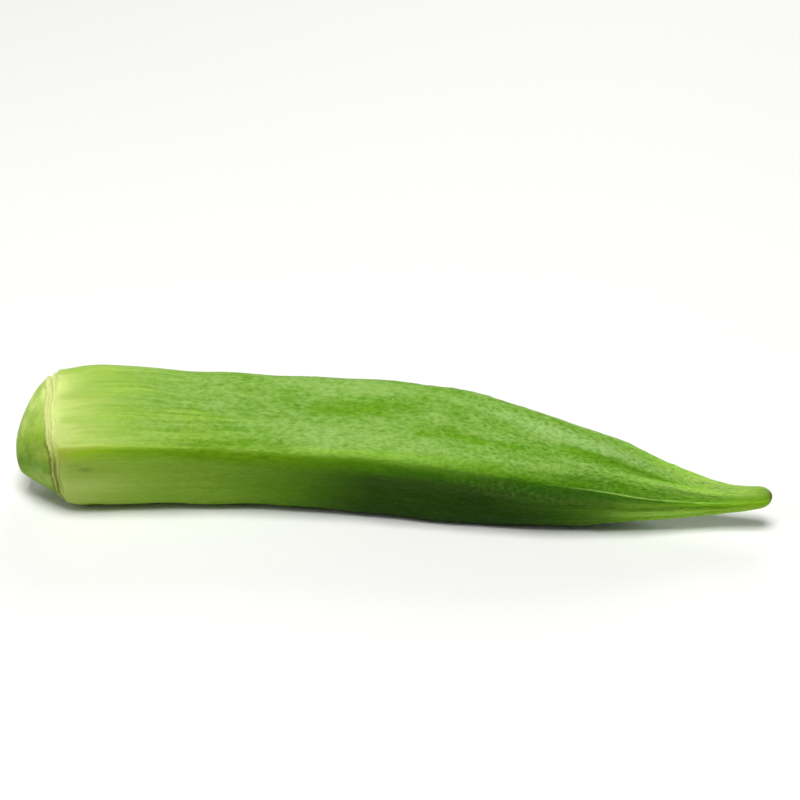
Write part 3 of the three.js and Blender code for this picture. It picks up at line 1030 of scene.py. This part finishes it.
colour = tinted(tree, between(tree, ragged_rim, *CUT_STARTS), colour, cut_colour)
ragged_tip = sum_of(tree, along, swing(tree, scar_grain, TIP_STRAYS))
colour = tinted(tree, between(tree, ragged_tip, *TIP_SCAR), colour, CUT_BROWN)
feed(tree, shader.inputs["Base Color"], colour)

# The skin is dull, and duller where the fine streaks are strong. A little light goes into the
# flesh. Only the finest grain is left to the bump: the rest of the relief is in the surface
# itself. The two depths are in metres.
SKIN_ROUGHNESS = (0.3, 0.7, 0.45, 0.6)
SKIN_GLOSS = 0.05
SKIN_GLOSS_COLOUR = (0.8, 1, 0.35, 1)
FLESH_GLOW = 0.1
FLESH_GLOW_COLOURS = (0.8, 1.0, 0.25)
FLESH_GLOW_DEPTH = 0.0012
BUMP_DEPTH = 0.0004
BUMP_STRENGTH = 0.8
FINE_BUMP_SHARE = 0.5
feed(tree, shader.inputs["Roughness"], between(tree, fine_streak, *SKIN_ROUGHNESS))
shader.inputs["Specular IOR Level"].default_value = SKIN_GLOSS
shader.inputs["Specular Tint"].default_value = SKIN_GLOSS_COLOUR
shader.inputs["Subsurface Weight"].default_value = FLESH_GLOW
shader.inputs["Subsurface Radius"].default_value = FLESH_GLOW_COLOURS
shader.inputs["Subsurface Scale"].default_value = FLESH_GLOW_DEPTH
bump = tree.nodes.new("ShaderNodeBump")
bump.inputs["Distance"].default_value = BUMP_DEPTH
bump.inputs["Strength"].default_value = BUMP_STRENGTH
bump_height = sum_of(tree, product(tree, mottle, mottled),
                     product(tree, fine_mottle, mottled, FINE_BUMP_SHARE))
feed(tree, bump.inputs["Height"], bump_height)
tree.links.new(bump.outputs["Normal"], shader.inputs["Normal"])
skin_mesh.materials.append(skin_material)

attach(skin, "root")
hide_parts("okra_pod")

# --- Down ---------------------------------------------------------------------------
# Short pale hairs that grow out of the skin of the fruit and lean towards its tip. Each
# is a three-sided cone with its root sunk in the skin. The cap has none.

# Sizes are in millimetres. A longer hair is a thicker one, and the higher MOSTLY_SHORT is, the
# fewer of them are long. On either side, their colour goes from a darker to a paler one, and the
# shaded side's hairs are darker than the lit side's: painted shade.
DOWN_PIECES = 2
DOWN_SEED = 5
HAIRS_A_PIECE = 45000
TRIES_A_HAIR = 3
HAIR_SPAN = (RING_ALONG + 1, LENGTH - 1)
SHADED_DOWN = 0.4
HAIR_SIDES = 3
HAIR_FACES = ((0, 3, 1), (1, 3, 2), (2, 3, 0), (0, 1, 2))
HAIR_LENGTH = (0.2, 0.9)
MOSTLY_SHORT = 6
HAIR_THICK = (0.009, 0.022)
HAIR_SUNK = 0.05
HAIR_LEAN = (0.0, 0.8)
HAIR_SPREAD = 0.8
SLOPE_STEP = 0.05
DOWN_LIT = ((0.22, 0.44, 0.06), (0.58, 0.74, 0.32))
DOWN_SHADED = ((0.06, 0.15, 0.004), (0.18, 0.30, 0.05))
DOWN_GRAIN = ((900, 900, 900), 2, 0.55, 0)
DOWN_ROUGHNESS = 0.5
DOWN_GLOSS = 0.2


def square_to_skin(along, angle):
    """Three directions at places on the skin: outwards, along the pod and round it."""
    forward = skin_point(along + SLOPE_STEP, angle) - skin_point(along - SLOPE_STEP, angle)
    turn = SLOPE_STEP / np.maximum(ridge_radius(along), 1)
    round_it = skin_point(along, angle + turn) - skin_point(along, angle - turn)
    out = np.cross(round_it, forward)
    return [v / np.linalg.norm(v, axis=1, keepdims=True) for v in (out, forward, round_it)]


def add_down(name, draw):
    """One piece of down: hairs strewn evenly over the skin, fewer where it is shaded."""
    along = draw.uniform(*HAIR_SPAN, TRIES_A_HAIR * HAIRS_A_PIECE)
    angle = draw.uniform(0, FULL_TURN, along.size)
    on_lit_side = np.sin(angle - RIDGES[0]) > 0
    thick_down = np.where(on_lit_side, 1, SHADED_DOWN)
    keep = draw.uniform(0, DRUM, along.size) < ridge_radius(along) * thick_down
    along, angle, on_lit_side = (values[keep][:HAIRS_A_PIECE] for values in (along, angle, on_lit_side))
    count = along.size
    out, forward, round_it = square_to_skin(along, angle)
    root = skin_point(along, angle)
    lean = draw.uniform(*HAIR_LEAN, (count, 1))
    aside = draw.normal(0, HAIR_SPREAD, (count, 1))
    way = out + lean * forward + aside * round_it
    way /= np.linalg.norm(way, axis=1, keepdims=True)
    length_share = draw.uniform(0, 1, (count, 1)) ** MOSTLY_SHORT
    length = HAIR_LENGTH[0] + (HAIR_LENGTH[1] - HAIR_LENGTH[0]) * length_share
    thick = HAIR_THICK[0] + (HAIR_THICK[1] - HAIR_THICK[0]) * length_share
    corners = []
    for corner in range(HAIR_SIDES):
        bearing = FULL_TURN * corner / HAIR_SIDES
        beside = math.cos(bearing) * forward + math.sin(bearing) * round_it
        corners.append(root - HAIR_SUNK * out + thick * beside)
    corners.append(root + length * way)
    vertices = (np.stack(corners, axis=1).reshape(-1, 3) + shift) * MM
    vertices[:, 2] = np.maximum(vertices[:, 2], 0)
    first = len(corners) * np.arange(count)[:, None]
    faces = np.concatenate([first + side for side in HAIR_FACES])
    mesh = bpy.data.meshes.new(name)
    mesh.from_pydata(vertices.tolist(), [], faces.tolist())
    add_number(mesh, "on_lit_side", np.repeat(on_lit_side, len(corners)))
    piece = bpy.data.objects.new(name, mesh)
    scene.collection.objects.link(piece)
    return piece


down_material = bpy.data.materials.new("okra_down")
down_material.use_nodes = True
tree = down_material.node_tree
shader = tree.nodes["Principled BSDF"]
on_down = tree.nodes.new("ShaderNodeTexCoord").outputs["Object"]
down_grain = grain(tree, on_down, *DOWN_GRAIN)
lit_down = tinted(tree, down_grain, *DOWN_LIT)
shaded_down = tinted(tree, down_grain, *DOWN_SHADED)
# The hairs on the shaded side take the darker colours: painted shade.
down_colour = tinted(tree, read(tree, "on_lit_side"), shaded_down, lit_down)
feed(tree, shader.inputs["Base Color"], down_colour)
shader.inputs["Roughness"].default_value = DOWN_ROUGHNESS
shader.inputs["Specular IOR Level"].default_value = DOWN_GLOSS

draw = np.random.default_rng(DOWN_SEED)
for number in range(DOWN_PIECES):
    down = add_down(f"okra_down_{number + 1}", draw)
    down.data.materials.append(down_material)
    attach(down, "root")

# --- Floor, light and ending ---------------------------------------------------------
# The pod lies on a broad pale matt table top. One soft box hangs over it and a little to the
# front, one stands far behind and wraps light round its top, and a small one fills its left.
FLOOR_HALF = 3
FLOOR_DROP = 0.0001
FLOOR_COLOUR = (0.80, 0.80, 0.80, 1)
FLOOR_ROUGHNESS = 0.7
ROOM_COLOUR = (1, 1, 1, 1)
ROOM_LIGHT = 0.08

# The soft boxes: name, where one stands and aims, its width in metres, its watts and colour.
SOFT_BOXES = [
    ("overhead", (-0.05, -0.33, 1.00), (0, 0, 0), 0.45, 12.5, (1, 0.995, 0.97)),
    ("behind", (0.15, 0.95, 0.50), (0, 0, 0), 0.5, 4.0, (1, 1, 0.98)),
    ("left_fill", (-0.42, -0.22, 0.26), (-0.04, 0, 0.01), 0.25, 0.5, (1, 1, 0.97)),
]

floor_mesh = bpy.data.meshes.new("floor")
floor_sides = ((-1, -1), (1, -1), (1, 1), (-1, 1))
floor_corners = [(FLOOR_HALF * x, FLOOR_HALF * y, 0) for x, y in floor_sides]
floor_mesh.from_pydata(floor_corners, [], [(0, 1, 2, 3)])
floor = bpy.data.objects.new("floor", floor_mesh)
floor.location.z = -FLOOR_DROP
scene.collection.objects.link(floor)

floor_material = bpy.data.materials.new("table_top")
floor_material.use_nodes = True
floor_shader = floor_material.node_tree.nodes["Principled BSDF"]
floor_shader.inputs["Base Color"].default_value = FLOOR_COLOUR
floor_shader.inputs["Roughness"].default_value = FLOOR_ROUGHNESS
floor_mesh.materials.append(floor_material)

for name, stands_at, aims_at, size, energy, colour in SOFT_BOXES:
    lamp = bpy.data.objects.new(name, bpy.data.lights.new(name, "AREA"))
    lamp.data.size = size
    lamp.data.energy = energy
    lamp.data.color = colour
    lamp.location = stands_at
    lamp.rotation_euler = (Vector(aims_at) - Vector(stands_at)).to_track_quat("-Z", "Y").to_euler()
    scene.collection.objects.link(lamp)

world = bpy.data.worlds.new("studio")
scene.world = world
world.use_nodes = True
world.node_tree.nodes["Background"].inputs["Color"].default_value = ROOM_COLOUR
world.node_tree.nodes["Background"].inputs["Strength"].default_value = ROOM_LIGHT
scene.view_settings.view_transform = "Standard"
